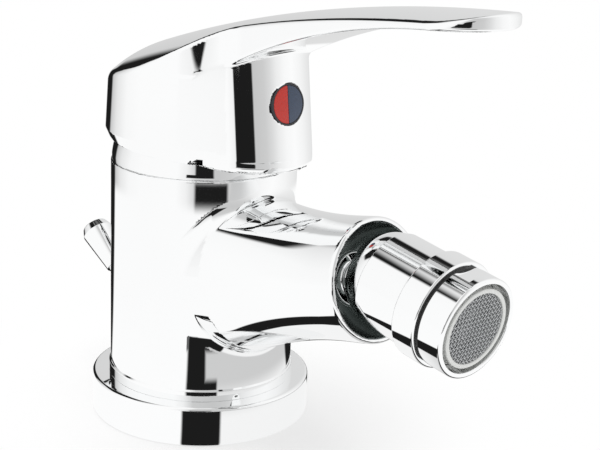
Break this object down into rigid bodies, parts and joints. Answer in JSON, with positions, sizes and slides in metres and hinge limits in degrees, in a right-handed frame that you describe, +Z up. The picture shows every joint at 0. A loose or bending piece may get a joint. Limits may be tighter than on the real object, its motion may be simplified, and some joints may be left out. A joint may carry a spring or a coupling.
{
  "type": "bidet mixer",
  "caption": "Single-lever deck bidet mixer with a ball-jointed swivel aerator and a pop-up lift rod.",
  "frame": {"origin": "centre of the base ring's underside, on the deck, at the mouth of its recess", "axes": "+X towards the spout and the lever's tip, +Z up out of the deck"},
  "size_m": [0.149, 0.058, 0.1194],
  "materials": {
    "chrome": "polished chrome plate",
    "brass": "machined",
    "steel": "bright wire and bar",
    "black_rubber": "moulded",
    "white_plastic": "moulded",
    "pale_plastic": "moulded",
    "dark_plastic": "moulded",
    "ceramic": "lapped ceramic",
    "red_plastic": "moulded",
    "blue_plastic": "moulded"
  },
  "bodies": {
    "base": {"base_ring": "chrome", "base_gasket": "black_rubber", "body": "chrome", "cartridge_base": "white_plastic", "inlet_seals": "black_rubber", "outlet_seal": "black_rubber", "fixed_disc": "ceramic", "cartridge_housing": "white_plastic", "cartridge_nut": "brass", "dome_ring": "chrome", "ball_stud": "chrome", "stud_seal": "black_rubber", "rod_bush": "dark_plastic"},
    "turning_rotor": {"rotor": "white_plastic", "pivot_pin": "steel"},
    "lever": {"lever_spindle": "brass", "handle": "chrome", "handle_screw": "steel", "index_bezel": "dark_plastic", "index_hot": "red_plastic", "index_cold": "blue_plastic"},
    "sliding_disc": {"moving_disc": "ceramic", "disc_coupler": "white_plastic"},
    "swivel_seat": {"ball_seat": "white_plastic"},
    "swivel_ring": {"thrust_ring": "white_plastic"},
    "swivel": {"seat_spring": "black_rubber", "swivel_sleeve": "chrome", "joint_washer": "black_rubber", "aerator_washer": "black_rubber", "aerator_shell": "chrome", "aerator_insert": "pale_plastic", "jet_plate": "white_plastic", "outlet_mesh": "steel", "inner_mesh": "steel"},
    "pull_rod": {"lift_rod": "chrome", "lift_knob": "chrome"}
  },
  "joints": [
    {"name": "handle_turn", "type": "hinge", "parent": "base", "child": "turning_rotor", "pos_m": [0, 0, 0.0673], "axis": [0, 0, 1], "range_deg": [-45, 45]},
    {"name": "handle_lift", "type": "hinge", "parent": "turning_rotor", "child": "lever", "pos_m": [0, 0, 0.0673], "axis": [0, -1, 0], "range_deg": [0, 20]},
    {"name": "disc_slide", "type": "slide", "parent": "turning_rotor", "child": "sliding_disc", "axis": [1, 0, 0], "range_m": [0, 0.00313]},
    {"name": "swivel_side", "type": "hinge", "parent": "base", "child": "swivel_seat", "pos_m": [0.0695, 0, 0.0536], "axis": [-0.2079, 0, 0.9781], "range_deg": [-18, 18]},
    {"name": "swivel_tilt", "type": "hinge", "parent": "swivel_seat", "child": "swivel_ring", "pos_m": [0.0695, 0, 0.0536], "axis": [0, 1, 0], "range_deg": [-45, 2.9]},
    {"name": "swivel_spin", "type": "hinge", "parent": "swivel_ring", "child": "swivel", "pos_m": [0.0695, 0, 0.0536], "axis": [0.9874, 0, -0.1582], "continuous": true},
    {"name": "rod_lift", "type": "slide", "parent": "base", "child": "pull_rod", "axis": [-0.766, 0, 0.6428], "range_m": [0, 0.01]}
  ],
  "couplings": [
    {"joint": "disc_slide", "follows": "handle_lift", "m_per_rad": 0.0089543}
  ]
}
